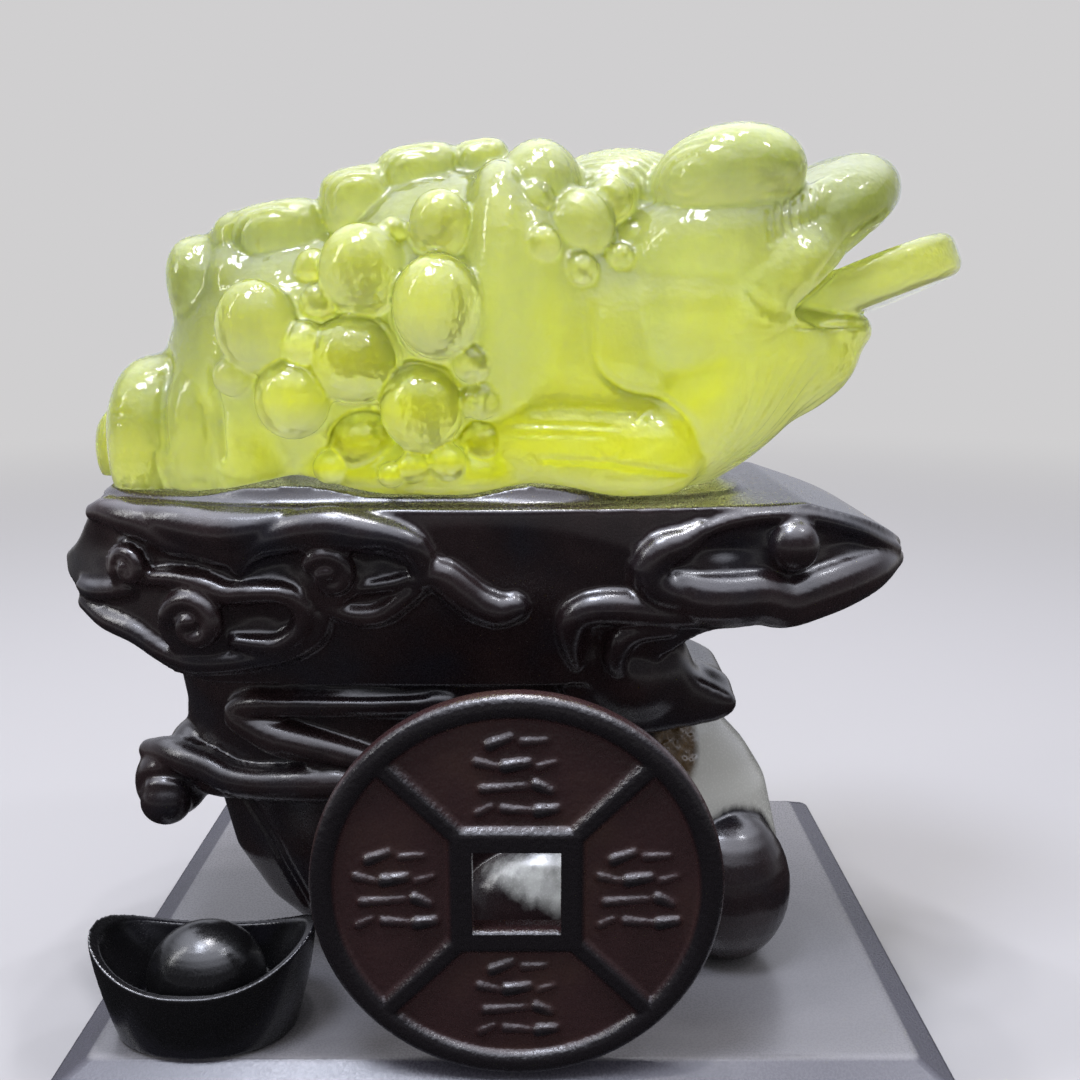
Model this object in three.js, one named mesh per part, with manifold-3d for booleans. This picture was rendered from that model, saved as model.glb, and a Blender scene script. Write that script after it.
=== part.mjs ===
// Carved crystal money toad on its cloud stand, with a cash coin, an ingot and a bevelled plinth.
// Millimetres, +Z up. The origin is the middle of the plinth's underside. The toad faces +X and the
// coin's face looks to -Y. The near side is -Y and carries the fuller carving.
import * as THREE from 'three';
import { mergeVertices } from 'three/addons/utils/BufferGeometryUtils.js';
import Module from 'manifold-3d';

const wasm = await Module();
wasm.setup();

// Driving dimensions
const gap = 0.3;
const midY = -3.5;
const plinth = { length: 190, depth: 130, height: 16, bevelOut: 9, bevelDrop: 5 };
const tray = {
  top: 140, bottom: 94, left: -114, right: 102, front: -46, back: 39, draft: 8.5, rim: 4, round: 0.83,
  sunk: 1.2,
};
const bed = { length: 158, depth: 70, middleX: -20, lift: 1.2 };
const waves = [
  { x: -50, half: 24, rise: 3.4 },
  { x: 9, half: 20, rise: 3 },
];
const coin = {
  x: 3.4, back: -64.4, sunk: 1.2, radius: 45.3, rim: 5.5, field: 4, rimProud: 1.1,
  hole: 19.4, frame: 29.6, spoke: 4.8, strokeReach: 26.5, strokeHigh: 1.8,
};
const ingot = {
  x: -71, y: -52.5, length: 52.5, depth: 32, base: 42, low: 16.5, tip: 25.5, wall: 2.2, pearl: 14,
};
const mouthCoin = { radius: 23, thick: 11, edgeRound: 2.5, x: 90.4, z: 189, rise: 21 };

// The toad's trunk: ellipsoids on its middle plane, which the pearls of the flank sit on
const trunk = [
  { x: -48, z: 170, half: [40, 33, 36], tilt: 14 },
  { x: -12, z: 178, half: [38, 36, 42], tilt: 10 },
  { x: 8, z: 192, half: [17, 32, 24], tilt: 0 },
  { x: 20, z: 170, half: [34, 35, 40], tilt: 0 },
  { x: -30, z: 147, half: [72, 34, 13], tilt: 0 },
  { x: 26, z: 209, half: [22, 20, 13], tilt: 8 },
];

// Facets round an ellipsoid: the body's masses, the pearls and the smallest pearls
const massSides = 10;
const pearlSides = 7;
const smallSides = 5;

const xAxis = new THREE.Vector3(1, 0, 0);
const yAxis = new THREE.Vector3(0, 1, 0);
const zAxis = new THREE.Vector3(0, 0, 1);
const radians = THREE.MathUtils.degToRad;

// From a geometry to a solid and back
function solidOf(geometry) {
  const bare = geometry.clone();
  bare.deleteAttribute('normal');
  bare.deleteAttribute('uv');
  const merged = mergeVertices(bare, 1e-4);
  const vertProperties = new Float32Array(merged.attributes.position.array);
  const triVerts = new Uint32Array(merged.index.array);
  return new wasm.Manifold(new wasm.Mesh({ numProp: 3, vertProperties, triVerts }));
}

function joined(solids) {
  return solids.reduce((whole, solid) => whole.add(solid));
}

function meshOf(name, solid, finish) {
  const { vertProperties, triVerts } = solid.getMesh();
  const geometry = new THREE.BufferGeometry();
  geometry.setAttribute('position', new THREE.BufferAttribute(vertProperties, 3));
  geometry.setIndex(new THREE.BufferAttribute(triVerts, 1));
  geometry.computeVertexNormals();
  const mesh = new THREE.Mesh(geometry, new THREE.MeshStandardMaterial(finish));
  mesh.name = name;
  return mesh;
}

// An ellipsoid at a point, with its half sizes, raised towards +X by a tilt in degrees
function egg([x, y, z], [rx, ry, rz], tilt = 0, sides = massSides) {
  const geometry = new THREE.SphereGeometry(1, sides, Math.round(sides * 0.7));
  geometry.rotateX(Math.PI / 2);
  geometry.scale(rx, ry, rz);
  geometry.rotateY(-radians(tilt));
  geometry.translate(x, y, z);
  return solidOf(geometry);
}

// The same ellipsoid on both sides of the toad's middle plane
function eggPair([x, y, z], size, tilt = 0, sides = massSides) {
  const far = 2 * midY - y;
  return [egg([x, y, z], size, tilt, sides), egg([x, far, z], size, tilt, sides)];
}

function shapeOf(points) {
  return new THREE.Shape(points.map(([u, v]) => new THREE.Vector2(u, v)));
}

// An outline in X and Z pushed along Y, in Y and Z pushed along X, or in X and Y pushed along Z
function slab(shape, axis, from, to) {
  const basis = {
    y: [xAxis, zAxis, yAxis.clone().negate()],
    x: [yAxis, zAxis, xAxis],
    z: [xAxis, yAxis, zAxis],
  }[axis];
  const geometry = new THREE.ExtrudeGeometry(shape, { depth: to - from, bevelEnabled: false, curveSegments: 6 });
  geometry.applyMatrix4(new THREE.Matrix4().makeBasis(...basis));
  const start = { y: [0, to, 0], x: [from, 0, 0], z: [0, 0, from] }[axis];
  geometry.translate(...start);
  return solidOf(geometry);
}

function signedPower(value, power) {
  return Math.sign(value) * Math.abs(value) ** power;
}

// Stacked rounded sections from the lowest up, each with its height, middle and half widths
function loft(sections, squareness, sides, topZ = null) {
  const rows = sections.length - 1;
  const geometry = new THREE.CylinderGeometry(1, 1, 1, sides, rows);
  geometry.rotateX(Math.PI / 2);
  const place = geometry.attributes.position;
  for (let i = 0; i < place.count; i += 1) {
    const row = Math.round((place.getZ(i) + 0.5) * rows);
    const { z, x, y, a, b } = sections[row];
    const reach = Math.hypot(place.getX(i), place.getY(i));
    const angle = Math.atan2(place.getY(i), place.getX(i));
    const across = a * reach * signedPower(Math.cos(angle), squareness);
    const along = b * reach * signedPower(Math.sin(angle), squareness);
    const height = topZ ? topZ(angle, reach, row / rows) : z;
    place.setXYZ(i, x + across, y + along, height);
  }
  return solidOf(geometry);
}

// A round bead of carving along a smooth curve
function bead(points, radius, steps, sides = 5) {
  const path = new THREE.CatmullRomCurve3(points.map((point) => new THREE.Vector3(...point)));
  const round = Array.from({ length: sides }, (_, i) => {
    const turn = (i / sides) * 2 * Math.PI;
    return [radius * Math.cos(turn), radius * Math.sin(turn)];
  });
  const geometry = new THREE.ExtrudeGeometry(shapeOf(round), { steps, extrudePath: path, bevelEnabled: false });
  return solidOf(geometry);
}

// Height of the toad's wavy underside
function underside(x) {
  return waves.reduce((height, wave) => {
    const t = (x - wave.x) / wave.half;
    return Math.abs(t) < 1 ? height + wave.rise * 0.5 * (1 + Math.cos(Math.PI * t)) : height;
  }, tray.top + bed.lift + gap);
}

function waveShape(lower, drop) {
  const steps = 20;
  const from = tray.left - 20;
  const length = tray.right - tray.left + 60;
  const crest = Array.from({ length: steps + 1 }, (_, i) => {
    const x = from + (length * i) / steps;
    return [x, underside(x) - drop];
  });
  return shapeOf([[from, lower], [from + length, lower], ...crest.reverse()]);
}

// Toad
function toadTrunk() {
  return trunk.map(({ x, z, half, tilt }) => egg([x, midY, z], half, tilt));
}

// The trunk's near side at a place on the flank
function flankY(x, z) {
  const depths = trunk.map((mass) => {
    const turn = radians(mass.tilt);
    const along = (x - mass.x) * Math.cos(turn) + (z - mass.z) * Math.sin(turn);
    const up = (z - mass.z) * Math.cos(turn) - (x - mass.x) * Math.sin(turn);
    const inside = 1 - (along / mass.half[0]) ** 2 - (up / mass.half[2]) ** 2;
    return mass.half[1] * Math.sqrt(Math.max(inside, 0));
  });
  return midY - Math.max(6, ...depths);
}

function toadHindLeg() {
  return [
    egg([-87, -5, 154], [15, 22, 18.5]),
    egg([-70, -6, 156], [14, 26, 17]),
    egg([-100, 1, 150], [8, 12, 12], 0, pearlSides),
    egg([-73.5, midY, 187], [9.5, 20, 13]),
    egg([-63.5, -8, 201], [6, 10, 6], 0, pearlSides),
  ];
}

// Four scutes that overlap up the spine, each a little higher than the one behind
function toadScutes() {
  const scutes = [
    { x: -58, z: 199.5, half: 14, wide: 20, thick: 8, tilt: 16 },
    { x: -37, z: 208, half: 12.5, wide: 19, thick: 8, tilt: 24 },
    { x: -22, z: 213, half: 12, wide: 18, thick: 8, tilt: 26 },
    { x: -7, z: 217, half: 9, wide: 17, thick: 7, tilt: 24 },
  ];
  return scutes.map(({ x, z, half, wide, thick, tilt }) => egg([x, midY, z], [half, wide, thick], tilt));
}

function toadHead() {
  const masses = joined([
    egg([45.5, midY, 181.5], [25.5, 38, 23], 0, 12),
    egg([50, midY, 199], [31, 31, 21], 12, 12),
    egg([52, midY, 167], [42, 30, 21], 42),
    egg([76, midY, 204], [24, 23, 11], 36),
    egg([88, midY, 211], [8, 15, 8.5], 0, 10),
    ...eggPair([50.5, -19, 213.5], [20.5, 13, 11], 16),
    ...eggPair([66, -13, 217], [8, 9, 7], 10, pearlSides),
  ]);
  const mouth = shapeOf([[64, 183], [104, 216], [130, 214], [130, 184], [88, 174]]);
  const lowerJaw = joined([
    egg([78.5, midY, 179.5], [12.5, 23, 6], -2),
    egg([72, midY, 171], [17, 25, 13], 38),
  ]);
  return masses.subtract(slab(mouth, 'y', -60, 60)).add(lowerJaw).add(heldCoin());
}

function heldCoin() {
  const { radius, thick, edgeRound: round, x, z, rise } = mouthCoin;
  const edge = thick / 2;
  const profile = [
    [0, -edge], [radius - round, -edge], [radius, round - edge],
    [radius, edge - round], [radius - round, edge], [0, edge],
  ];
  const geometry = new THREE.LatheGeometry(profile.map(([r, h]) => new THREE.Vector2(r, h)), 18);
  geometry.rotateX(Math.PI / 2);
  geometry.rotateY(-radians(rise));
  geometry.translate(x, midY, z);
  return solidOf(geometry);
}

function toadForelegs() {
  return [
    ...eggPair([5, -24, 175], [14, 14.5, 34]),
    ...eggPair([21, -26, 152], [27, 14, 12.5], -6),
    ...eggPair([7, -14, 213.5], [10, 10, 9.8], 0, 10),
  ];
}

// Pearls of treasure on the flank: place along and up, half width and half height
function toadPearls() {
  const big = [
    [-31.5, 192.3, 9.9, 10.8], [-14.3, 184.5, 9.6, 11.5], [-13.6, 202.2, 6.8, 7.7],
    [-56.4, 179.7, 8.8, 10.4], [-34.7, 171.4, 9.6, 9.3], [-48.1, 162.5, 9, 9],
    [-33.8, 152.2, 7.8, 7.8], [-17.8, 160.6, 9.1, 9.9], [17.7, 203.2, 7.9, 7.9],
  ];
  const small = [
    [-5, 152.2, 5.7], [-5.6, 161.9, 4.8], [-6.7, 171, 4], [-13.8, 149, 3.8], [-22.2, 149.1, 3.4],
    [-46, 193, 3.8], [-41.9, 185.9, 3.8], [-45.5, 175.5, 4.7], [6.9, 208.5, 5], [8.7, 197.8, 4.4],
    [25.3, 208.2, 5.2], [15.9, 191.8, 3.6], [31.3, 201.2, 3.2],
  ];
  const near = [
    ...big.map(([x, z, wide, high]) => egg([x, flankY(x, z) + 1, z], [wide, wide, high], 0, pearlSides)),
    ...small.map(([x, z, round]) => egg([x, flankY(x, z) + 0.5, z], [round, round, round], 0, smallSides)),
  ];
  const far = big.slice(0, 7).map(([x, z, wide, high]) => {
    const y = 2 * midY - flankY(x, z) - 3;
    return egg([x, y, z], [wide, wide, high], 0, 6);
  });
  return [...near, ...far];
}

function makeToad() {
  const body = joined([
    ...toadTrunk(),
    ...toadHindLeg(),
    ...toadScutes(),
    toadHead(),
    ...toadForelegs(),
    ...toadPearls(),
  ]);
  return body.subtract(slab(waveShape(90, 0), 'y', -80, 80));
}

// Stand
function trayFrontOutline() {
  return shapeOf([
    [-96, tray.top], [-100, 135], [-105, 128], [tray.left, 120.5], [-107, 116.5], [-103, 112],
    [-96, 108], [-88, 105.5], [-82, 101], [-74, 98], [-60, tray.bottom + 2], [20, tray.bottom + 2], [38, 104],
    [48, 110], [66, 111.5], [77, 113], [87, 117], [97, 121], [tray.right, 123.5], [99, 127.5],
    [88, 134], [70, tray.top],
  ]);
}

function trayPlanOutline() {
  const middleX = (tray.left + tray.right) / 2;
  const middleY = (tray.front + tray.back) / 2;
  const steps = 28;
  return shapeOf(Array.from({ length: steps }, (_, i) => {
    const turn = (i / steps) * 2 * Math.PI;
    const across = ((tray.right - tray.left) / 2) * signedPower(Math.cos(turn), tray.round);
    const depth = turn < Math.PI ? 0.66 : tray.round;
    const along = ((tray.back - tray.front) / 2) * signedPower(Math.sin(turn), depth);
    return [middleX + across, middleY + along];
  }));
}

function trayBody() {
  const side = shapeOf([
    [tray.front, tray.top], [tray.front, tray.top - tray.rim], [tray.front + tray.draft, tray.bottom],
    [tray.back - tray.draft, tray.bottom], [tray.back, tray.top - tray.rim], [tray.back, tray.top],
  ]);
  const deep = slab(trayFrontOutline(), 'y', -60, 60);
  const plan = slab(trayPlanOutline(), 'z', 80, 160);
  return deep.intersect(plan).intersect(slab(side, 'x', -130, 130));
}

// The bed rises from the tray's floor and follows the toad's underside
function trayBed() {
  const steps = 16;
  const outline = Array.from({ length: steps }, (_, i) => {
    const turn = (i / steps) * 2 * Math.PI;
    const across = (bed.length / 2) * signedPower(Math.cos(turn), 0.6);
    const along = (bed.depth / 2) * signedPower(Math.sin(turn), 0.6);
    return [bed.middleX + across, midY + along];
  });
  return slab(shapeOf(outline), 'z', 130, 160).intersect(slab(waveShape(135, gap), 'y', -60, 60));
}

// Depth of the tray's front face at a place, so that the cloud carving sits on it
function faceY(x, z) {
  const halfLength = (tray.right - tray.left) / 2;
  const halfDepth = (tray.back - tray.front) / 2;
  const reach = Math.min(Math.abs(x - (tray.left + tray.right) / 2) / halfLength, 0.97) ** (1 / tray.round);
  const plan = midY - halfDepth * (1 - reach ** 2) ** (tray.round / 2);
  const lean = (tray.draft * Math.max(tray.top - tray.rim - z, 0)) / (tray.top - tray.rim - tray.bottom);
  return Math.max(plan, tray.front + lean);
}

function cloudBead(outline, radius, steps) {
  return bead(outline.map(([x, z]) => [x, faceY(x, z) + tray.sunk, z]), radius, steps);
}

// A scroll on the tray's front: a bead that winds in to a pearl
function cloudScroll(x, z, radius, startTurn, turns) {
  const steps = 8;
  const wind = Array.from({ length: steps + 1 }, (_, i) => {
    const t = i / steps;
    const angle = radians(startTurn - 360 * turns * t);
    const reach = radius * (1 - 0.55 * t);
    return [x + reach * Math.cos(angle), faceY(x, z) + tray.sunk / 2 - 2 * t, z + reach * Math.sin(angle)];
  });
  const pearl = egg([x, faceY(x, z) + 1, z], [radius * 0.62, radius * 0.5 + 2, radius * 0.62], 0, 6);
  return bead(wind, radius * 0.32, 8, 5).add(pearl);
}

function leftClouds() {
  return [
    cloudBead([[-103, 127], [-95, 133], [-84, 133], [-73, 130], [-61, 129]], 3.8, 6),
    cloudBead([[-60, 128], [-50, 133], [-35, 135], [-21, 132], [-16, 127], [-22, 122]], 3.8, 8),
    cloudBead([[-105, 117], [-90, 117], [-75, 121], [-62, 117], [-48, 116], [-43, 110], [-50, 104]], 3.8, 8),
    cloudBead([[-105, 118], [-98, 111], [-88, 107.5], [-80, 103], [-68, 101], [-54, 104]], 3.8, 6),
    cloudBead([[-40, 114], [-28, 115], [-20, 121], [-12, 123], [-7, 116], [4, 116]], 3, 7),
    cloudScroll(-89.5, 123, 5.8, 200, 1.1),
    cloudScroll(-39, 125.5, 6.8, 150, 1.1),
    cloudScroll(-73.6, 111.5, 7.8, 160, 1.1),
  ];
}

function rightCloud() {
  return [
    cloudBead([[42, 134], [34, 129], [34, 122], [44, 117], [60, 117], [76, 118], [90, 122]], 4.4, 8),
    cloudBead([[44, 131], [56, 135], [72, 134.5], [86, 129], [94, 124]], 3.8, 5),
    egg([68, faceY(68, 128.5) - 0.5, 128.5], [6.6, 5.5, 6.6], 0, 7),
  ];
}

// The lower right cloud: a rolled lip over a smooth belly that ends in a point
function lowerCloud() {
  const outline = shapeOf([
    [12, 96], [14, 115], [26, 118], [40, 116], [48, 112], [45, 106], [47, 100], [54, 97],
    [57, 91], [53, 85.5], [42, 81], [34, 78], [20, 80],
  ]);
  const side = shapeOf([[-42, 119], [-40, 98], [-34, 76], [0, 76], [14, 98], [24, 119]]);
  return [
    slab(outline, 'y', -60, 40).intersect(slab(side, 'x', 0, 70)),
    egg([33, -31, 96], [17, 11, 15], -20),
    cloudBead([[14, 107], [15, 114], [24, 118], [36, 116]], 3.8, 7),
  ];
}

function pillar() {
  return loft([
    { z: plinth.height + gap, x: 4, y: -8, a: 55, b: 20 },
    { z: 22, x: 4.5, y: -8, a: 61.5, b: 23 },
    { z: 30, x: 3, y: -8, a: 69, b: 24.5 },
    { z: 43, x: -0.5, y: -7, a: 74, b: 25.5 },
    { z: 60, x: -4, y: -6, a: 74, b: 26.5 },
    { z: 73, x: -8.5, y: -5, a: 70, b: 27.5 },
    { z: 84, x: -16.5, y: -4, a: 66.5, b: 29 },
    { z: 98, x: -18.5, y: -3.5, a: 68.5, b: 31.5 },
  ], 0.75, 20);
}

function pillarScrolls() {
  return [
    egg([-88.5, -16, 63], [9.5, 11, 12], 0, 10),
    egg([-78, -14, 72], [14, 12, 9], -38, 10),
    egg([60, -22, 37.5], [15, 15, 20.5]),
  ];
}

// Ribbons of carving that sweep across the pillar under the tray
function ribbons() {
  const sweep = [
    [[-70, 92], [-52, 90], [-30, 92], [-8, 91]],
    [[-71, 86], [-60, 80], [-40, 77], [-20, 74]],
    [[-76, 74], [-60, 70], [-44, 67], [-26, 66]],
  ];
  return sweep.map((line) => bead(line.map(([x, z]) => [x, -28.5 - (z - 66) * 0.12, z]), 4, 5));
}

function makeStand() {
  return joined([
    trayBody(),
    trayBed(),
    ...leftClouds(),
    ...rightCloud(),
    ...lowerCloud(),
    pillar(),
    ...pillarScrolls(),
    ...ribbons(),
  ]);
}

// Cash coin
function coinBlank() {
  const half = coin.field / 2;
  const proud = half + coin.rimProud;
  const inner = coin.radius - coin.rim;
  const profile = [
    [0, -half], [inner, -half], [inner + 1, -proud], [coin.radius, -proud],
    [coin.radius, proud], [inner + 1, proud], [inner, half], [0, half],
  ];
  return solidOf(new THREE.LatheGeometry(profile.map(([r, h]) => new THREE.Vector2(r, h)), 30));
}

// A raised bar or panel that reaches from the coin's middle out to its face at -Y
function block(width, depth, height, x, z, turn = 0) {
  const geometry = new THREE.BoxGeometry(width, depth, height);
  geometry.rotateY(radians(turn));
  geometry.translate(x, -depth / 2, z);
  return solidOf(geometry);
}

// Rows of plain strokes in the four fields
function coinStrokes(depth) {
  const reach = coin.strokeReach;
  const rows = [-4.4, 0, 4.4];
  const lengths = [11, 16, 13];
  const fields = [[0, reach], [0, -reach], [-reach, 0], [reach, 0]];
  return fields.flatMap(([x, z]) => rows.map((row, i) => block(lengths[i], depth, coin.strokeHigh, x, z + row)));
}

function makeCoin() {
  const face = coin.field / 2 + coin.rimProud;
  const spokeLength = 2 * (coin.radius - coin.rim * 0.5);
  const raised = joined([
    block(coin.frame, face, coin.frame, 0, 0),
    block(spokeLength, face - 0.25, coin.spoke, 0, 0, 45),
    block(spokeLength, face - 0.25, coin.spoke, 0, 0, -45),
    ...coinStrokes(face - 0.2),
  ]);
  const hole = new THREE.BoxGeometry(coin.hole, 20, coin.hole);
  return coinBlank().add(raised).subtract(solidOf(hole));
}

// Ingot
function boat(length, depth, baseScale, bottom, low, tip) {
  const rows = [
    { z: 0, x: 0, y: 0, a: (length / 2) * baseScale, b: (depth / 2) * baseScale },
    { z: 0, x: 0, y: 0, a: (length / 2) * (0.55 * baseScale + 0.4), b: (depth / 2) * 0.93 },
    { z: 0, x: 0, y: 0, a: length / 2, b: depth / 2 },
  ];
  const rim = (angle, reach, level) => {
    const rise = reach > 0.5 ? (tip - low) * Math.abs(Math.cos(angle)) ** 2.4 : 0;
    return bottom + (low + rise - bottom) * level;
  };
  return loft(rows, 0.9, 20, rim);
}

function makeIngot() {
  const { length, depth, base, low, tip, wall, pearl } = ingot;
  const hull = boat(length, depth, base / length, 0, low, tip);
  const hollow = boat(length - 2 * wall, depth - 2 * wall, 0.62, low - 7, low + 0.6, tip + 0.6);
  const heart = egg([0, 0, 11], [pearl, pearl * 0.86, pearl]);
  const inside = boat(length - 2, depth - 2, base / length - 0.05, 1, low + 20, tip + 20);
  return hull.subtract(hollow).add(heart.intersect(inside));
}

// Plinth
function makePlinth() {
  const { length, depth, height, bevelOut, bevelDrop } = plinth;
  const box = new THREE.BoxGeometry(1, 1, 1, 1, 1, 2);
  const place = box.attributes.position;
  for (let i = 0; i < place.count; i += 1) {
    const level = place.getZ(i);
    const spread = level > 0.25 ? 0 : 2 * bevelOut;
    const z = [0, height - bevelDrop, height][Math.round((level + 0.5) * 2)];
    place.setXYZ(i, place.getX(i) * (length + spread), place.getY(i) * (depth + spread), z);
  }
  return solidOf(box);
}

const crystal = { color: 0xd3e34a, roughness: 0.12, metalness: 0 };
const blackwood = { color: 0x1d1618, roughness: 0.38, metalness: 0 };
const group = new THREE.Group();

const plinthSolid = makePlinth();
const coinHeight = plinth.height - coin.sunk + coin.radius;
const coinDepth = coin.field + 2 * coin.rimProud;
const seat = new THREE.CylinderGeometry(coin.radius + gap, coin.radius + gap, coinDepth + 2 * gap, 30);
seat.translate(coin.x, coin.back - coinDepth / 2, coinHeight);
const coinSolid = makeCoin();

const toad = meshOf('toad', makeToad(), crystal);
const stand = meshOf('cloud_stand', makeStand(), blackwood);
const cashCoin = meshOf('cash_coin', coinSolid, blackwood);
cashCoin.position.set(coin.x, coin.back - coinDepth / 2, coinHeight);
const goldIngot = meshOf('ingot', makeIngot(), blackwood);
goldIngot.position.set(ingot.x, ingot.y, plinth.height + gap);
const base = meshOf('plinth', plinthSolid.subtract(solidOf(seat)), blackwood);

group.add(toad, stand, cashCoin, goldIngot, base);
export default group;
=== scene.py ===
from math import cos, pi, radians, sin

import bmesh
import bpy
import numpy as np
from mathutils import Matrix, Vector, noise


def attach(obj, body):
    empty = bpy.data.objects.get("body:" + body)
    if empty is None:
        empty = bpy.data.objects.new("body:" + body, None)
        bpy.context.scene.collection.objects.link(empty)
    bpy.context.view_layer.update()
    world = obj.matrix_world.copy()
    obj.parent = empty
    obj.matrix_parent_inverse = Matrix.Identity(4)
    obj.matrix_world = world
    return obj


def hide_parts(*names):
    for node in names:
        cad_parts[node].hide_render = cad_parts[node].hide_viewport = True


# Carved money toad of cast crystal on a blackwood stand. Shapes are made in millimetres and
# scaled to metres when a piece is finished. +X is the way the toad faces, -Y is the near side.
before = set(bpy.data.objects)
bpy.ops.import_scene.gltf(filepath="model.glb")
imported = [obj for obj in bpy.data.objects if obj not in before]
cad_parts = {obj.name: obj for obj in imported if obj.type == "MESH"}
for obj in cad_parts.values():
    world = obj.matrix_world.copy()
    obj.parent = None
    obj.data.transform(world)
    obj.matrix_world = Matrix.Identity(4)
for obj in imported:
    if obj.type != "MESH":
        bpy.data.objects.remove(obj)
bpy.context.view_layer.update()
print("frame loaded", sorted(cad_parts))

midY = -3.5  # the toad's middle plane
gap = 0.3  # between pieces that rest on each other
plinthTop = 16
mostTriangles = 195000  # in one piece


def newObject(name, data):
    obj = bpy.data.objects.new(name, data)
    bpy.context.scene.collection.objects.link(obj)
    return obj


def looseObject(name, bm):
    mesh = bpy.data.meshes.new(name)
    bm.to_mesh(mesh)
    bm.free()
    return newObject(name, mesh)


def clamp(values):
    return np.clip(values, 0, 1)


def applied(obj):  # the modifiers become the mesh
    graph = bpy.context.evaluated_depsgraph_get()
    mesh = bpy.data.meshes.new_from_object(obj.evaluated_get(graph))
    obj.modifiers.clear()
    old = obj.data
    obj.data = mesh
    bpy.data.meshes.remove(old)
    return obj


def fused(obj, voxel, soften):  # one skin round every lump, then eased
    skin = obj.modifiers.new("oneSkin", "REMESH")
    skin.mode = "VOXEL"
    skin.voxel_size = voxel
    ease = obj.modifiers.new("ease", "SMOOTH")
    ease.factor = 0.5
    ease.iterations = soften
    return applied(obj)


def cutBy(obj, tool, operation="DIFFERENCE", crossing=False):
    cut = obj.modifiers.new("cut", "BOOLEAN")
    cut.object = tool
    cut.operation = operation
    cut.solver = "EXACT"
    cut.use_self = crossing
    applied(obj)
    bpy.data.objects.remove(tool)
    return obj


def takeIn(bm, obj):  # pour a finished lump into another piece's bmesh
    bm.from_mesh(obj.data)
    bpy.data.meshes.remove(obj.data)


def poured(bm, part):  # operators slow down in a full bmesh, so a long shape is made in its own
    takeIn(bm, looseObject("part", part))


def addEgg(bm, centre, half, tilt=0.0, segments=32, blunt=1.0):
    place = Matrix.Translation(centre) @ Matrix.Rotation(-radians(tilt), 4, "Y") @ Matrix.Diagonal((*half, 1))
    egg = bmesh.new()
    bmesh.ops.create_uvsphere(egg, u_segments=segments, v_segments=segments // 2, radius=1)
    if blunt != 1:
        for vert in egg.verts:
            vert.co = [signedPower(c, blunt) for c in vert.co]
    egg.transform(place)
    poured(bm, egg)


def addPair(bm, centre, *shape):  # on both sides of the middle plane
    x, y, z = centre
    for side in (y, 2 * midY - y):
        addEgg(bm, (x, side, z), *shape)


def signedPower(value, power):
    return np.sign(value) * abs(value) ** power


def smoothLine(points, spacing):  # a curve through the points, sampled every spacing
    p = np.array(points, float)
    p = np.vstack([2 * p[0] - p[1], p, 2 * p[-1] - p[-2]])
    out = []
    for a, b, c, d in zip(p[:-3], p[1:-2], p[2:-1], p[3:]):
        steps = max(2, int(np.linalg.norm((c - b)[:3]) / spacing))
        for t in np.arange(steps) / steps:
            out.append(0.5 * (2 * b + (c - a) * t + (2 * a - 5 * b + 4 * c - d) * t * t
                              + (3 * b - a - 3 * c + d) * t ** 3))
    out.append(p[-2])
    return np.array(out)


def nextRing(bm, edges):  # one more ring grown from a ring of edges: its corners and its edges
    grown = bmesh.ops.extrude_edge_only(bm, edges=edges)["geom"]
    return [[g for g in grown if isinstance(g, kind)] for kind in (bmesh.types.BMVert, bmesh.types.BMEdge)]


def addRoll(bm, points, radii, spacing=1.6, sides=14):  # a round roll of carving along a curve
    line = smoothLine([(*p, r) for p, r in zip(points, radii)], spacing)
    centres = [Vector(row[:3]) for row in line]
    side = Vector((0, 1, 0.3))
    frames = []
    for i, centre in enumerate(centres):
        ahead = (centres[min(i + 1, len(line) - 1)] - centres[max(i - 1, 0)]).normalized()
        side = (side - ahead * side.dot(ahead)).normalized()
        size = max(line[i][3], 0.3)
        turn = Matrix((side * size, ahead.cross(side) * size, ahead * size)).transposed().to_4x4()
        frames.append(Matrix.Translation(centre) @ turn)
    roll = bmesh.new()
    bmesh.ops.create_circle(roll, cap_ends=True, segments=sides, radius=1, matrix=frames[0])
    edges = list(roll.edges)
    for before, after in zip(frames, frames[1:]):
        verts, edges = nextRing(roll, edges)
        bmesh.ops.transform(roll, matrix=after @ before.inverted(), verts=verts)
    bmesh.ops.contextual_create(roll, geom=edges)
    for end in (0, -1):
        addEgg(roll, centres[end], [max(line[end][3], 0.3)] * 3, 0, sides)
    poured(bm, roll)


def bevelled(bm, edges, width, segments):
    bmesh.ops.bevel(bm, geom=edges, offset=width, offset_type="OFFSET", affect="EDGES", segments=segments,
                    profile=0.5, material=-1)


def prism(outline, axis, start, end):  # an outline pushed along an axis
    bm = bmesh.new()
    k = "xyz".index(axis)
    face = bm.faces.new([bm.verts.new((*spot[:k], start, *spot[k:])) for spot in outline])
    grown = bmesh.ops.extrude_face_region(bm, geom=[face])["geom"]
    verts = [g for g in grown if isinstance(g, bmesh.types.BMVert)]
    push = Vector((0, 0, 0))
    push[k] = end - start
    bmesh.ops.translate(bm, vec=push, verts=verts)
    bmesh.ops.recalc_face_normals(bm, faces=bm.faces)
    return looseObject("prism", bm)


def addTower(bm, rows, sides, place):  # rings pulled up one by one, then set by place(angle, level)
    tower = bmesh.new()
    bmesh.ops.create_circle(tower, cap_ends=True, segments=sides, radius=1)
    edges = list(tower.edges)
    for _ in range(rows):
        verts, edges = nextRing(tower, edges)
        bmesh.ops.translate(tower, vec=(0, 0, 1), verts=verts)
    bmesh.ops.contextual_create(tower, geom=edges)
    for vert in tower.verts:
        vert.co = place(np.arctan2(vert.co.y, vert.co.x), round(vert.co.z) / rows)
    bmesh.ops.recalc_face_normals(tower, faces=tower.faces)
    poured(bm, tower)


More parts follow.
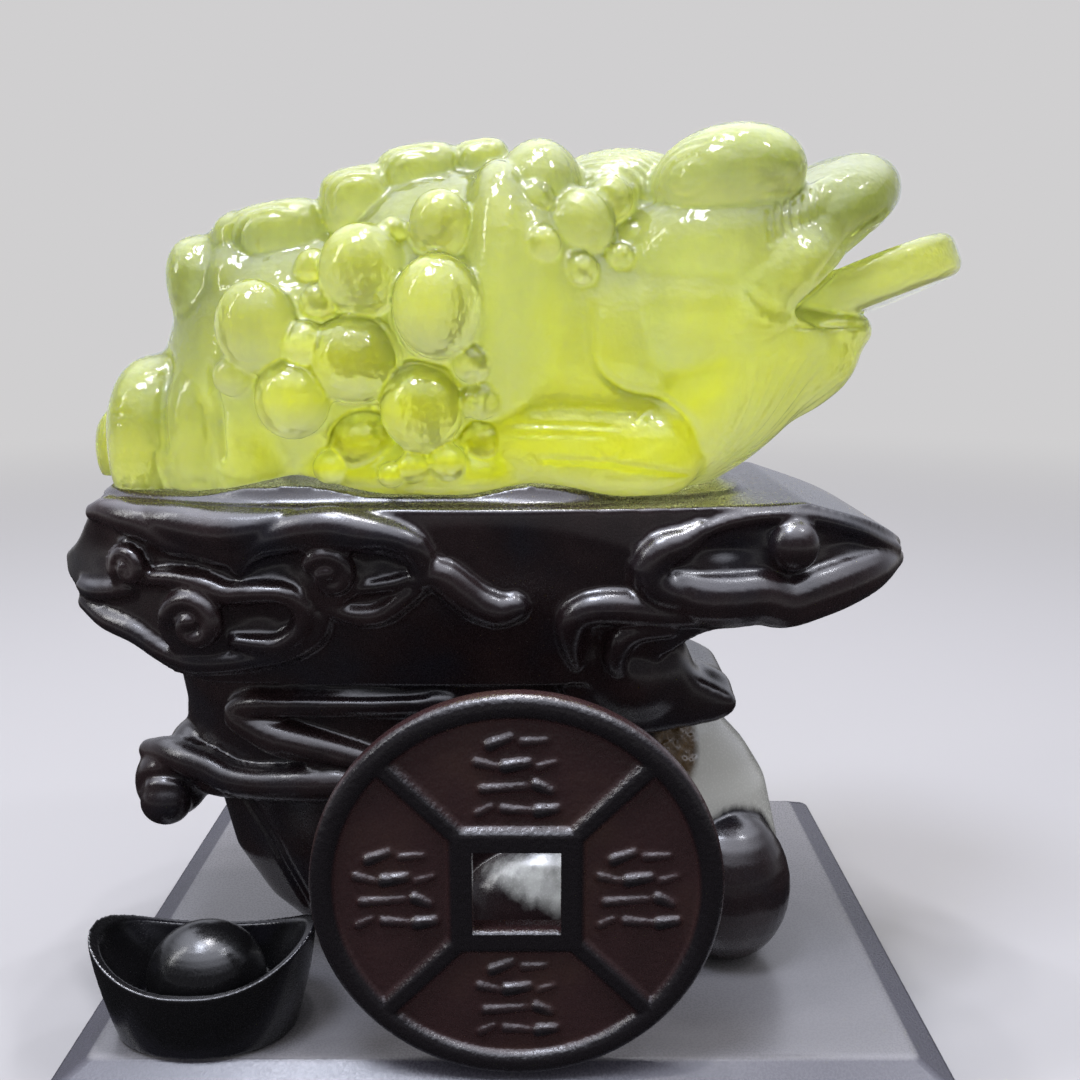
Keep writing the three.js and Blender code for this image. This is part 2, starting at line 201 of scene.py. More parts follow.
def coordinates(mesh):
    flat = np.empty(len(mesh.vertices) * 3)
    mesh.vertices.foreach_get("co", flat)
    return flat.reshape(-1, 3)


def outward(mesh):
    flat = np.empty(len(mesh.vertices) * 3)
    mesh.vertex_normals.foreach_get("vector", flat)
    return flat.reshape(-1, 3)


def store(mesh, spots):
    mesh.vertices.foreach_set("co", spots.ravel())
    mesh.update()

def paint(mesh, name, amount):  # a value at each vertex, which the material reads
    layer = mesh.attributes.new(name, "FLOAT", "POINT")
    layer.data.foreach_set("value", amount.astype(np.float32))


def lineDistance(flat, line):  # distance in the X and Z plane to a line, and the share of it passed
    line = np.array(line, float)
    best = np.full(len(flat), 1e9)
    share = np.zeros(len(flat))
    for i, (a, b) in enumerate(zip(line[:-1], line[1:])):
        along = b - a
        t = clamp(((flat - a) @ along) / (along @ along))
        away = np.linalg.norm(flat - a - t[:, None] * along, axis=1)
        nearer = away < best
        best[nearer] = away[nearer]
        share[nearer] = (i + t[nearer]) / (len(line) - 1)
    return best, share


def carved(mesh, lines, both=False):  # each line: points in X and Z, width, depth (minus is raised)
    spots = coordinates(mesh)
    normals = outward(mesh)
    flat = spots[:, [0, 2]]
    near = clamp(-normals[:, 1] * 2.2) * (spots[:, 1] < midY + 6)
    far = clamp(normals[:, 1] * 2.2) * (spots[:, 1] > midY - 6)
    facing = near + far if both else near
    move = np.zeros(len(spots))
    for points, width, depth in lines:
        line = smoothLine(points, 1.0)
        box = (flat > line.min(0) - 3 * width).all(1) & (flat < line.max(0) + 3 * width).all(1)
        away, share = lineDistance(flat[box], line)
        taper = clamp(np.minimum(share, 1 - share) * 8) ** 0.5
        move[box] -= depth * np.exp(-(away / width) ** 2) * taper
    store(mesh, spots + normals * (move * facing)[:, None])


def finished(obj, name, material, node):
    mesh = obj.data
    mesh.calc_loop_triangles()
    count = len(mesh.loop_triangles)
    if count > mostTriangles:
        thin = obj.modifiers.new("thin", "DECIMATE")
        thin.ratio = mostTriangles / count
        mesh = applied(obj).data
    mesh.transform(Matrix.Scale(0.001, 4))
    mesh.shade_smooth()
    mesh.materials.clear()
    mesh.materials.append(material)
    mesh.update()
    obj.name = mesh.name = name
    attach(obj, "root")
    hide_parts(node)
    mesh.calc_loop_triangles()
    print(name, "finished,", len(mesh.loop_triangles), "triangles")


def hexColour(text):  # sRGB hex to the linear values that shaders take
    parts = [int(text[i:i + 2], 16) / 255 for i in (1, 3, 5)]
    return tuple(c / 12.92 if c <= 0.04045 else ((c + 0.055) / 1.055) ** 2.4 for c in parts) + (1.0,)


def addNode(tree, kind, settings={}):  # a node or an output among the values is linked
    node = tree.nodes.new("ShaderNode" + kind)
    for key, value in settings.items():
        if isinstance(value, bpy.types.Node):
            value = value.outputs[0]
        if key == "stops":  # a ramp starts with two
            steps = node.color_ramp.elements
            for step, (place, tone) in zip(steps, (value[0], value[-1])):
                step.position, step.color = place, hexColour(tone)
            for place, tone in value[1:-1]:
                steps.new(place).color = hexColour(tone)
        elif isinstance(value, bpy.types.NodeSocket):
            tree.links.new(value, node.inputs[key])
        elif isinstance(key, str) and hasattr(node, key):
            setattr(node, key, value)
        else:
            node.inputs[key].default_value = hexColour(value) if isinstance(value, str) else value
    return node


def newMaterial(name):
    material = bpy.data.materials.new(name)
    material.use_nodes = True
    tree = material.node_tree
    tree.nodes.clear()
    return material, tree


# Cast crystal: cast in a mould and polished. Milky inside and clear at thin edges under a hard clear
# skin; it takes light deep in. Its colour by height is partly its own tint and partly painted glow: a full
# yellow foot and a pale top.
castCrystalLook = {
    # the last colour on this line is a painted rim shade
    "foot": "#F4F60A", "low": "#EDF236", "middle": "#E0E77E", "top": "#A9B37A", "edge": "#88933A",
    # the pearl top and foot colours are painted shade on what faces up and painted light below
    "snout": "#858F45", "upPaintedShade": "#AEB84E", "downPaintedLight": "#F4F7CC", "upShare": 0.75, "downShare": -0.8,
    # an axis, where it starts and is full in metres, and how much
    "rise": ("Z", 0.141, 0.222, 1.0), "hindEnd": ("X", -0.042, -0.072, 0.4),
    "ahead": ("X", 0.06, 0.078, 0.8), "raised": ("Z", 0.197, 0.205, 1.0),
    "seeThrough": 0.64, "body": 0.1, "polish": 0.01, "ior": 1.25, "coat": 0.4, "specular": 0.15,
    "milk": 1.0, "milkDepth": 0.035, "milkTint": (1.0, 0.95, 0.25), "cloudSize": 16, "ripple": 2.4,
}


def castCrystal():
    look = castCrystalLook
    material, tree = newMaterial("castCrystal")
    spot = addNode(tree, "TexCoord").outputs["Object"]
    axes = addNode(tree, "SeparateXYZ", {0: spot}).outputs
    part = {}
    for key in ("rise", "hindEnd", "ahead", "raised"):
        axis, start, full, most = look[key]
        part[key] = addNode(tree, "MapRange", {
            "From Min": start, "From Max": full, "To Max": most, "Value": axes[axis]})
    drawn = addNode(tree, "Mapping", {"Scale": (1, 1, 0.4), "Vector": spot})
    cloud = addNode(tree, "TexNoise", {  # drifts of milk some 16 mm across, drawn upwards
        "Scale": 1000 / look["cloudSize"], "Detail": 4.0, "Roughness": 0.55, "Vector": drawn})
    sway = addNode(tree, "Math", {"operation": "MULTIPLY_ADD", 0: cloud, 1: 0.7, 2: -0.35})
    level = addNode(tree, "Math", {"operation": "ADD", 0: part["rise"], 1: sway})
    level = addNode(tree, "Math", {  # the thin hind end takes on the top's colour
        "operation": "ADD", "use_clamp": True, 0: level, 1: part["hindEnd"]})
    # painted glow: the colour ramps by height from a glowing yellow foot to a pale top
    body = addNode(tree, "ValToRGB", {"Fac": level, "stops": [
        (0.0, look["foot"]), (0.22, look["low"]), (0.55, look["middle"]), (1.0, look["top"])]})
    # painted light and shade, read from the mesh: olive painted on what faces up, pale light painted below
    shade = addNode(tree, "Attribute", {"attribute_name": "crystalShade"}).outputs["Fac"]
    upper, lower = (
        addNode(tree, "Math", {"operation": "MULTIPLY", "use_clamp": True, 0: shade, 1: look[key]})
        for key in ("upShare", "downShare"))
    # painted shade: a darker olive at round edges stands in for refraction
    rim = addNode(tree, "LayerWeight", {"Blend": 0.28})
    side = addNode(tree, "MapRange", {  # the painted rim shade stays off a pearl's lower edge
        "From Min": -0.5, "From Max": 0.5, "To Min": 0.1, "Value": shade})
    held = addNode(tree, "Math", {
        "operation": "MULTIPLY", "use_clamp": True, 0: rim.outputs["Facing"], 1: side})
    nose = addNode(tree, "Math", {"operation": "MULTIPLY", 0: part["ahead"], 1: part["raised"]})
    # painted light and shade from refraction: olive on what faces up and pale below, a painted darker olive
    # at a round edge, and the deepest olive on the snout
    for key, share in (("upPaintedShade", upper), ("downPaintedLight", lower), ("edge", held), ("snout", nose)):
        body = addNode(tree, "MixRGB", {"Color2": look[key], "Fac": share, "Color1": body})
    ripple = addNode(tree, "TexNoise", {  # the wheel leaves waves of 2 mm and more
        "Scale": 1000 / look["ripple"], "Detail": 1.5, "Vector": spot})
    bump = addNode(tree, "Bump", {"Strength": 0.6, "Distance": 0.0004, "Height": ripple})
    shader = addNode(tree, "BsdfPrincipled", {
        "Roughness": look["body"], "IOR": look["ior"], "Transmission Weight": look["seeThrough"],
        "Coat Weight": look["coat"], "Coat Roughness": look["polish"], "Specular IOR Level": look["specular"],
        "Subsurface Weight": look["milk"], "Subsurface Scale": look["milkDepth"],
        "Subsurface Radius": look["milkTint"], "Base Color": body, "Normal": bump, "Coat Normal": bump})
    addNode(tree, "OutputMaterial", {"Surface": shader})
    return material


# Cast resin: black-brown like blackwood, sprayed and rubbed to satin. Fine specks from the mould and a
# red-brown body colour where light falls square on it.
castResinLook = {
    # the pale grey last colour on this line is a painted reflection of the bright room
    "body": "#1A1214", "worn": "#251A1B", "grey": "#15141A", "bare": "#54442F", "dulled": "#A9AAA6",
    "roughLow": 0.2, "roughHigh": 0.31, "roughShift": 0.0, "ior": 1.5, "gloss": 0.5,
    "speck": 0.55, "drift": 22, "grain": 0.0, "grainSize": 3.2, "grainScale": (1, 1, 7), "raised": None,
}


def castResin(name, **own):
    look = {**castResinLook, **own}
    material, tree = newMaterial(name)
    spot = addNode(tree, "TexCoord").outputs["Object"]
    drift = addNode(tree, "TexNoise", {"Scale": 1000 / look["drift"], "Detail": 4.0, "Vector": spot})
    tone = addNode(tree, "ValToRGB", {"Fac": drift, "stops": [
        (0.3, look["grey"]), (0.5, look["body"]), (0.72, look["worn"])]})
    layers = [(look[key], addNode(tree, "Attribute", {"attribute_name": key + "Resin"}).outputs["Fac"])
              for key in ("bare", "dulled")]  # where no colour took, and a painted reflection of the bright room
    if look["raised"]:  # another colour on the raised parts, from start to full along an axis: two-tone paint on the coin, a painted reflection on the plinth's top
        colour, axis, start, full = look["raised"]
        across = addNode(tree, "SeparateXYZ", {0: spot})
        raisedShare = addNode(tree, "MapRange", {
            "From Min": start, "From Max": full, "Value": across.outputs[axis]})
        layers.insert(0, (colour, raisedShare))
    for colour, share in layers:
        tone = addNode(tree, "MixRGB", {"Color2": colour, "Fac": share, "Color1": tone})
    speck = addNode(tree, "TexNoise", {  # of half a millimetre, coarser than real dust so they show
        "Scale": 1000 / look["speck"], "Detail": 2.0, "Vector": spot})
    streaks = addNode(tree, "Mapping", {"Scale": look["grainScale"], "Vector": spot})
    lines = addNode(tree, "TexNoise", {"Scale": 1000 / look["grainSize"], "Detail": 3.0, "Vector": streaks})
    rough = addNode(tree, "MapRange", {
        "From Min": 0.3, "From Max": 0.7, "To Min": look["roughLow"] + look["roughShift"],
        "To Max": look["roughHigh"] + look["roughShift"], "Value": speck})
    fine = addNode(tree, "Bump", {"Strength": 0.14, "Distance": 0.00012, "Height": speck})
    broad = addNode(tree, "Bump", {
        "Strength": look["grain"], "Distance": 0.0004, "Height": lines, "Normal": fine})
    shader = addNode(tree, "BsdfPrincipled", {
        "IOR": look["ior"], "Specular IOR Level": look["gloss"],
        "Base Color": tone, "Roughness": rough, "Normal": broad})
    addNode(tree, "OutputMaterial", {"Surface": shader})
    return material


crystalFinish = castCrystal()
resinFinish = castResin("castResin", gloss=0.62)
coinFinish = castResin("castResinGrained", body="#2B1B1C", worn="#33231F", grey="#261819", roughShift=0.02,
                       grain=0.5, grainScale=(2.4, 2.4, 2.4), raised=("#131013", "Y", -0.0689, -0.0699))
ingotFinish = castResin("castResinDark", body="#0A0A0B", worn="#0E0D0F")
plinthPaintedReflectionFinish = castResin("lacqueredResin", body="#34333B", worn="#37363D", grey="#323139", roughShift=0.02,
                         gloss=0.4, raised=("#646366", "Z", 0.0154, 0.0158))  # a grey body and a lighter top, both painted reflection of the bright room on black lacquer


# The toad: lumps as centre, half sizes and tilt. Trunk and scutes sit on the middle plane.
toad = {
    "bodyVoxel": 1.3, "bodyEase": 15,  # the body flows together
    "voxel": 0.72, "ease": 3,  # the pearls keep their creases
    "trunk": [
        ((-48, 170), (38, 32, 34), 14), ((-12, 178), (36, 35, 41), 10), ((8, 192), (17, 32, 24), 0),
        ((20, 170), (34, 35, 40), 0), ((-14, 146), (48, 35, 12), 0), ((26, 209), (22, 20, 13), 8),
    ],
    "hind": [  # the folded leg: three blocks side by side, then the far toe
        ((-87.2, -8, 151), (11.4, 22, 22.0), 0), ((-73.4, -9, 152), (10.4, 23, 22.5), 0),
        ((-60.5, -11, 150), (11.5, 24.5, 21), 0), ((-101.5, 3, 148), (6.8, 11, 11.5), 0),
    ],
    "rump": [
        ((-74.5, -5, 189), (8.6, 17, 13), 6), ((-64, -9, 187), (8, 17, 14), 0), ((-64, -8, 201),
         (7, 12, 6.5), 20),
    ],
    "scutes": [  # overlapping plates down the back, blunt at the rear
        ((-54, 199.8), (13.0, 19, 9.8), 10), ((-33.8, 208.4), (10.8, 18, 9.2), 10), ((-20, 214),
         (11, 17, 8.6), 8),
        ((-5.5, 217.2), (7.4, 14, 6.6), 8),
    ],
    "head": [
        ((45.5, midY, 181.5), (27, 35.5, 25), 0), ((50, midY, 197), (31, 34, 20.5), 12),
        ((52, midY, 167), (42, 34.5, 22), 42), ((74, midY, 202), (26, 27, 14), 36), ((62, midY, 189),
         (26, 35, 19.5), 36),
        ((55, midY, 180), (26, 35.5, 22), 40),
    ],
    "jaw": [((78.5, midY, 178.8), (12.5, 23, 6), -2), ((72, midY, 171), (17, 25, 13), 38)],
    "mouth": [(64, 183), (104, 216), (130, 214), (130, 184), (88, 174)],
    "forelegs": [
        ((0.2, -19.5, 184), (9.6, 22, 34), 2), ((11, -22, 174), (11, 16, 34), 3),
        ((6.5, -24, 183), (7.5, 15.5, 28), 2), ((21, -27.5, 151.5), (26, 14, 12.5), -7),
    ],
    "brow": ((51.8, -22.5, 213.2), (18, 14.5, 11.8), 10),
    "snout": ((83.2, -12, 209.8), (11, 10.5, 9.6), 42),
    "shoulder": ((8.4, -17, 210.5), (10.5, 14, 12), 0),
    "lip": [(44, -32, 196), (54, -31.5, 198.5), (64, -28, 202), (73, -23, 207), (81, -17, 211)],
    "lipRadius": [2.0, 3.4, 4.6, 5.5, 5.5],
    "bigPearls": [  # X, Z, half width and half height
        (-31.3, 192.2, 10.1, 10.6), (-14.1, 184.2, 10.0, 11.6), (-13.6, 202.0, 7.2, 7.8),
        (-55.6, 179.8, 9.2, 10.6), (-33.8, 172.2, 10.2, 10.0), (-47.8, 163.6, 8.6, 9.2),
        (-33.2, 153.2, 7.8, 7.6), (-18.4, 161.6, 9.6, 10.2), (17.6, 202.6, 8.2, 8.2),
    ],
    "smallPearls": [  # X, Z and half size
        (-4.6, 153.3, 5.6), (-12.6, 149.6, 4.3), (-5.2, 163.4, 4.6), (-6.9, 171.6, 4.2),
        (-20.6, 148.6, 3.6),
        (-43.4, 193.2, 4.2), (-41.6, 185.6, 4.0), (-44.6, 175.6, 5.6), (7.3, 207.6, 5.0), (8.8, 197.6, 4.4),
        (24.6, 208.4, 5.4), (17.6, 192.3, 3.9), (30.4, 200.2, 3.6), (26.6, 195.4, 3.0), (-24.6, 200.6, 3.4),
        (-61.6, 168.6, 4.6), (-40.6, 147.6, 4.0), (-25.6, 146.6, 3.2),
    ],
    "coinRadius": 23, "coinThick": 11, "coinRound": 3.2, "coinAt": (90.4, midY, 189),
    "coinRise": 21, "coinRoll": 8,
    "pearlSunk": {"bigPearls": (0.6, 2.5), "smallPearls": (0.4, 1.5)},  # on the near flank and the far one
    "waves": [(-50, 24, 3.4), (9, 20, 3)], "bedTop": 141.5,
    "throat": (44, 139), "furrow": 7.3, "fineFurrow": 3.1,  # where the fan starts, and its steps in degrees
    "napeStart": 12, "strand": 1.9, "fineStrand": 0.83,
}


def underside(x):  # the toad's wavy foot, which the bed of the stand follows
    height = np.full_like(np.asarray(x, float), toad["bedTop"])
    for middle, half, rise in toad["waves"]:
        t = (x - middle) / half
        height = height + np.where(abs(t) < 1, rise * 0.5 * (1 + np.cos(pi * np.clip(t, -1, 1))), 0)
    return height


def flankY(x, z):  # the trunk's near side
    deepest = 6.0
    for (mx, mz), half, tilt in toad["trunk"]:
        turn = radians(tilt)
        along = (x - mx) * cos(turn) + (z - mz) * sin(turn)
        up = (z - mz) * cos(turn) - (x - mx) * sin(turn)
        inside = 1 - (along / half[0]) ** 2 - (up / half[2]) ** 2
        deepest = max(deepest, half[1] * max(inside, 0) ** 0.5)
    return midY - deepest


def toadBody():
    bm = bmesh.new()
    for centre, half, tilt in toad["head"]:
        addEgg(bm, centre, half, tilt, 48)
    head = looseObject("head", bm)
    cutBy(head, prism(toad["mouth"], "y", -60, 60), crossing=True)
    bm = bmesh.new()
    takeIn(bm, head)
    for (x, z), half, tilt in toad["trunk"]:
        addEgg(bm, (x, midY, z), half, tilt, 48)
    for centre, half, tilt in toad["hind"] + toad["rump"] + toad["jaw"]:
        addEgg(bm, centre, half, tilt, 40, 0.86)
    for centre, half, tilt in toad["forelegs"]:
        addPair(bm, centre, half, tilt, 40, 0.85)
    return fused(looseObject("body", bm), toad["bodyVoxel"], toad["bodyEase"])


def pearls():  # every pearl's centre and half sizes, on both flanks
    spots = []
    for kind, (near, far) in toad["pearlSunk"].items():
        for x, z, wide, *high in toad[kind]:
            flank, half = flankY(x, z), (wide, wide, *(high or [wide]))
            spots += [((x, flank - near, z), half), ((x, 2 * midY - flank - far, z), half)]
    return spots


def paintRefractionShade(mesh):  # painted light and shade from refraction: plus on what faces up, minus on what faces down, most of all on a pearl
    spots = coordinates(mesh) * 1000
    shade = 0.85 * np.clip(outward(mesh)[:, 2] * 1.2, -1, 1)
    for centre, half in pearls() + [((x, midY, z), half) for (x, z), half, tilt in toad["scutes"]]:
        local = (spots - centre) / half
        away = np.linalg.norm(local, axis=1)
        on = clamp((1.12 - away) / 0.14)
        shade = shade * (1 - on) + on * np.clip(local[:, 2] * 1.15, -1, 1)
    paint(mesh, "crystalShade", shade)


def heldCoin():  # the coin in the mouth
    bm = bmesh.new()
    bmesh.ops.create_cone(bm, cap_ends=True, segments=72, radius1=toad["coinRadius"],
                          radius2=toad["coinRadius"], depth=toad["coinThick"])
    rims = [e for e in bm.edges if abs(e.verts[0].co.z - e.verts[1].co.z) < 1e-6]
    bevelled(bm, rims, toad["coinRound"], 6)
    coin = looseObject("heldCoin", bm)
    turn = (Matrix.Rotation(-radians(toad["coinRise"]), 4, "Y")
            @ Matrix.Rotation(-radians(toad["coinRoll"]), 4, "X"))
    coin.data.transform(Matrix.Translation(toad["coinAt"]) @ turn)
    return coin


def makeToad():
    bm = bmesh.new()
    takeIn(bm, heldCoin())
    for (x, z), half, tilt in toad["scutes"]:
        addEgg(bm, (x, midY, z), half, tilt, 40, 0.62)
    for centre, half, tilt in (toad["brow"], toad["snout"], toad["shoulder"]):
        addPair(bm, centre, half, tilt, 40)
    for turn in (1, -1):
        lip = [(x, midY + turn * (y - midY), z) for x, y, z in toad["lip"]]
        addRoll(bm, lip, toad["lipRadius"])
    for centre, half in pearls():
        addEgg(bm, centre, half, 0, 32)
    takeIn(bm, toadBody())
    obj = looseObject("toadLumps", bm)
    fused(obj, toad["voxel"], toad["ease"])
    carveToad(obj.data)
    spots = coordinates(obj.data)
    spots[:, 2] = np.maximum(spots[:, 2], underside(spots[:, 0]))
    store(obj.data, spots)
    finished(obj, "toadCarving", crystalFinish, "toad")
    paintRefractionShade(obj.data)


toadLines = [  # points in X and Z, width, depth
    ([(-81, 174), (-80.6, 168), (-80.8, 160), (-80.2, 150)], 1.2, 1.2),
    ([(-67.6, 172), (-67.3, 166.3), (-66.2, 161.5), (-65.4, 155), (-65, 149)], 1.0, 1.4),
    ([(20, 186), (20.2, 178), (21.6, 171), (27.6, 166), (36.6, 163.5), (43, 158), (46.5, 150)], 1.0, 0.9),
    ([(-6.2, 170), (-6.6, 164), (-6.2, 158)], 1.0, 0.6),
    ([(90.5, 203.5), (83.1, 199.4), (76.6, 192), (72.2, 186.8), (67.8, 182.5)], 0.8, 1.3),
    ([(88.5, 206.0), (80.6, 201.4), (74.6, 195.2), (69.4, 189.4)], 0.6, 0.9),
    ([(63.9, 179.8), (76, 180), (86.5, 180)], 0.6, 0.8),
    ([(1.6, 158.3), (14, 158.2), (26.7, 157.6)], 0.45, 0.45),
    ([(0.4, 155.6), (13.4, 156.1), (24, 155.7)], 0.45, 0.4),
    ([(8, 150.5), (24, 149.6), (44, 146.2)], 0.6, 0.6),
    ([(20, 153.6), (24.6, 149.8), (27.5, 153.4)], 0.45, 0.45),
    ([(29.6, 158.4), (34, 162)], 0.45, 0.45),
    ([(-93, 160), (-87, 159.6)], 0.4, 0.4), ([(-93, 157.6), (-88.5, 157.2)], 0.4, 0.35),
]


def carveToad(mesh):
    lines = list(toadLines)
    for i in range(7):  # ribs down the upper lip
        x, z = 58.5 + 2.1 * i, 200.6 + 1.1 * i
        lines.append(([(x + 0.4, z + 4.4), (x, z), (x + 0.6, z - 3.6)], 0.5, 0.7))
    for (x, z), (wide, _, high), tilt in toad["scutes"]:  # each plate has a thin step inside its edge
        bow = [radians(a) for a in (205, 170, 130, 90, 55)]
        for inset, depth in ((0.80, 0.45), (0.58, 0.3)):
            lines.append(([(x + inset * wide * cos(a), z + inset * high * sin(a)) for a in bow], 0.5, depth))
    carved(mesh, lines, both=True)
    spots = coordinates(mesh)
    normals = outward(mesh)
    x, y, z = spots.T
    # furrows fan over the throat from the foot of the chest
    footX, footZ = toad["throat"]
    reach = np.hypot(x - footX, z - footZ)
    fan = np.degrees(np.arctan2(z - footZ, x - footX))
    inside = clamp((reach - 8) / 8) * clamp((50 - reach) / 14) * clamp((176 - z) / 6)
    inside *= clamp((fan - 22) / 8) * clamp((80 - fan) / 12)
    inside *= clamp(abs(normals[:, 1]) * 3)
    sweep = fan + 4 * np.sin(reach / 9)
    furrow = 0.17 * np.cos(np.radians(sweep * 360 / toad["furrow"]))
    furrow += 0.12 * np.cos(np.radians(sweep * 360 / toad["fineFurrow"] + 40))
    move = -inside * (0.15 - furrow)
    # hair-fine strands over the nape, from the shoulders up to the brow
    ahead = x - toad["napeStart"]
    along = ahead / 32
    across = (y - midY) * (1 - 0.35 * along) + 3.2 * along + 1.2 * np.sin(along * 5 + y / 6)
    nape = clamp(ahead / 5) * clamp((46 - x) / 5) * clamp((z - 203) / 5)
    strand = 0.15 * np.cos(2 * pi * across / toad["strand"])
    strand += 0.08 * np.cos(2 * pi * across / toad["fineStrand"] + 1)
    move -= nape * (0.2 - strand)
    store(mesh, spots + normals * move[:, None])


makeToad()


